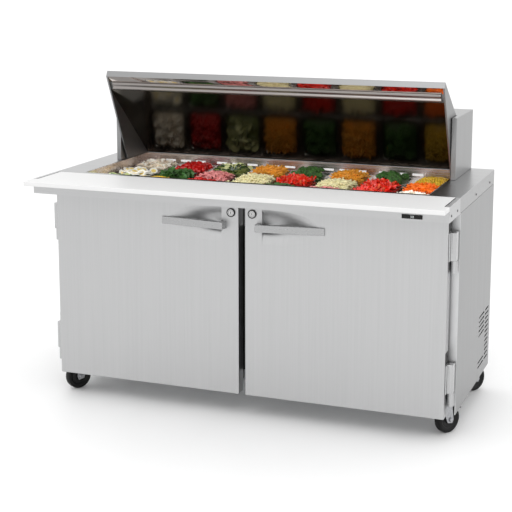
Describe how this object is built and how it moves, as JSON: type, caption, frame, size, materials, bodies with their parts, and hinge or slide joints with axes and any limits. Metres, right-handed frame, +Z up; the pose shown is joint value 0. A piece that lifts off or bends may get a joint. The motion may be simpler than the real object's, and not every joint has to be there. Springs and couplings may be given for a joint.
{
  "type": "refrigerated sandwich prep table",
  "caption": "Refrigerated sandwich prep table on casters: steel cabinet with doors, white cutting board, recessed food pans and a hinged insulated lid held open in front of a rear hood.",
  "frame": {"origin": "on the floor, under the middle of the bounding box", "axes": "+X to the right of a person facing the doors, +Y away from them to the back, +Z up"},
  "size_m": [1.53, 0.864, 1.2195],
  "materials": {
    "cabinet_steel": "brushed, grain along the long side",
    "door_steel": "brushed, grain up and down",
    "handle_steel": "satin",
    "hinge_steel": "satin",
    "interior_steel": "satin",
    "worktop_steel": "brushed",
    "lid_steel": "brushed",
    "lid_mirror": "polished",
    "board_plastic": "matt white",
    "duct_plastic": "matt white",
    "black_plastic": "matt black",
    "gasket_rubber": "matt",
    "wheel_rubber": "matt",
    "caster_zinc": "bright zinc",
    "lock_metal": "polished",
    "compressor_paint": "gloss black",
    "coil_aluminium": "bare"
  },
  "bodies": {
    "cabinet": {"side_wall_right": "cabinet_steel", "side_wall_left": "cabinet_steel", "insulated_floor": "interior_steel", "rear_wall": "interior_steel", "machine_base": "cabinet_steel", "rear_panel": "cabinet_steel", "center_mullion": "black_plastic", "front_header": "cabinet_steel", "worktop": "worktop_steel", "front_shelf": "cabinet_steel", "control_display": "black_plastic", "pan_well_liner": "worktop_steel", "air_duct": "duct_plastic", "pan_row_front": "worktop_steel", "pan_row_middle": "worktop_steel", "pan_row_rear": "worktop_steel", "pan_bar_front": "worktop_steel", "pan_bar_rear": "worktop_steel", "shelf_right": "interior_steel", "shelf_left": "interior_steel", "hood": "cabinet_steel", "hinge_base_upper_right": "hinge_steel", "hinge_base_upper_left": "hinge_steel", "hinge_base_lower_right": "hinge_steel", "hinge_base_lower_left": "hinge_steel", "caster_rail_right": "caster_zinc", "caster_rail_left": "caster_zinc", "compressor": "compressor_paint", "condenser_coil": "coil_aluminium", "evaporator_cover": "interior_steel", "evaporator_coil": "coil_aluminium"},
    "cutting_board": {"cutting_board": "board_plastic"},
    "lid": {"lid_shell": "lid_steel", "lid_liner": "lid_mirror", "lid_bar": "lid_steel"},
    "door_right": {"door_panel_right": "door_steel", "door_gasket_right": "gasket_rubber", "door_handle_right": "handle_steel", "hinge_cap_upper_right": "hinge_steel", "hinge_cap_lower_right": "hinge_steel"},
    "lock_right": {"lock_plug_right": "lock_metal"},
    "door_left": {"door_panel_left": "door_steel", "door_gasket_left": "gasket_rubber", "door_handle_left": "handle_steel", "hinge_cap_upper_left": "hinge_steel", "hinge_cap_lower_left": "hinge_steel"},
    "lock_left": {"lock_plug_left": "lock_metal"},
    "caster_front_right": {"caster_fork_front_right": "caster_zinc"},
    "wheel_front_right": {"caster_wheel_front_right": "wheel_rubber"},
    "brake_front_right": {"caster_brake_front_right": "black_plastic"},
    "caster_front_left": {"caster_fork_front_left": "caster_zinc"},
    "wheel_front_left": {"caster_wheel_front_left": "wheel_rubber"},
    "brake_front_left": {"caster_brake_front_left": "black_plastic"},
    "caster_rear_right": {"caster_fork_rear_right": "caster_zinc"},
    "wheel_rear_right": {"caster_wheel_rear_right": "wheel_rubber"},
    "caster_rear_left": {"caster_fork_rear_left": "caster_zinc"},
    "wheel_rear_left": {"caster_wheel_rear_left": "wheel_rubber"},
    "condenser_fan": {"condenser_fan": "coil_aluminium"},
    "evaporator_fan": {"evaporator_fan": "black_plastic"}
  },
  "joints": [
    {"name": "lid_hinge", "type": "hinge", "parent": "cabinet", "child": "lid", "pos_m": [0, 0.183, 0.869], "axis": [1, 0, 0], "range_deg": [0, 64.5]},
    {"name": "cutting_board_lift", "type": "slide", "parent": "cabinet", "child": "cutting_board", "axis": [0, -0.7071, 0.7071], "range_m": [0, 0.15]},
    {"name": "door_right_hinge", "type": "hinge", "parent": "cabinet", "child": "door_right", "pos_m": [0.752, -0.205, 0.45], "axis": [0, 0, 1], "range_deg": [0, 110]},
    {"name": "lock_right_turn", "type": "hinge", "parent": "door_right", "child": "lock_right", "pos_m": [0.04, -0.244, 0.76], "axis": [0, -1, 0], "range_deg": [0, 90]},
    {"name": "door_left_hinge", "type": "hinge", "parent": "cabinet", "child": "door_left", "pos_m": [-0.752, -0.205, 0.45], "axis": [0, 0, -1], "range_deg": [0, 110]},
    {"name": "lock_left_turn", "type": "hinge", "parent": "door_left", "child": "lock_left", "pos_m": [-0.04, -0.244, 0.76], "axis": [0, -1, 0], "range_deg": [0, 90]},
    {"name": "caster_front_right_swivel", "type": "hinge", "parent": "cabinet", "child": "caster_front_right", "pos_m": [0.7095, -0.125, 0.12], "axis": [0, 0, 1], "continuous": true},
    {"name": "wheel_front_right_spin", "type": "hinge", "parent": "caster_front_right", "child": "wheel_front_right", "pos_m": [0.72116, -0.10634, 0.05], "axis": [0.848, -0.5299, 0], "continuous": true},
    {"name": "brake_front_right_press", "type": "hinge", "parent": "caster_front_right", "child": "brake_front_right", "pos_m": [0.72116, -0.10634, 0.078], "axis": [-0.848, 0.5299, 0], "range_deg": [0, 10]},
    {"name": "caster_front_left_swivel", "type": "hinge", "parent": "cabinet", "child": "caster_front_left", "pos_m": [-0.7095, -0.125, 0.12], "axis": [0, 0, 1], "continuous": true},
    {"name": "wheel_front_left_spin", "type": "hinge", "parent": "caster_front_left", "child": "wheel_front_left", "pos_m": [-0.72116, -0.14366, 0.05], "axis": [-0.848, 0.5299, 0], "continuous": true},
    {"name": "brake_front_left_press", "type": "hinge", "parent": "caster_front_left", "child": "brake_front_left", "pos_m": [-0.72116, -0.14366, 0.078], "axis": [0.848, -0.5299, 0], "range_deg": [0, 10]},
    {"name": "caster_rear_right_swivel", "type": "hinge", "parent": "cabinet", "child": "caster_rear_right", "pos_m": [0.7095, 0.35, 0.12], "axis": [0, 0, 1], "continuous": true},
    {"name": "wheel_rear_right_spin", "type": "hinge", "parent": "caster_rear_right", "child": "wheel_rear_right", "pos_m": [0.72116, 0.36866, 0.05], "axis": [0.848, -0.5299, 0], "continuous": true},
    {"name": "caster_rear_left_swivel", "type": "hinge", "parent": "cabinet", "child": "caster_rear_left", "pos_m": [-0.7095, 0.35, 0.12], "axis": [0, 0, 1], "continuous": true},
    {"name": "wheel_rear_left_spin", "type": "hinge", "parent": "caster_rear_left", "child": "wheel_rear_left", "pos_m": [-0.72116, 0.33134, 0.05], "axis": [-0.848, 0.5299, 0], "continuous": true},
    {"name": "condenser_fan_spin", "type": "hinge", "parent": "cabinet", "child": "condenser_fan", "pos_m": [0.662, 0.308, 0.245], "axis": [1, 0, 0], "continuous": true},
    {"name": "evaporator_fan_spin", "type": "hinge", "parent": "cabinet", "child": "evaporator_fan", "pos_m": [0, 0.258, 0.51], "axis": [0, 1, 0], "continuous": true}
  ]
}
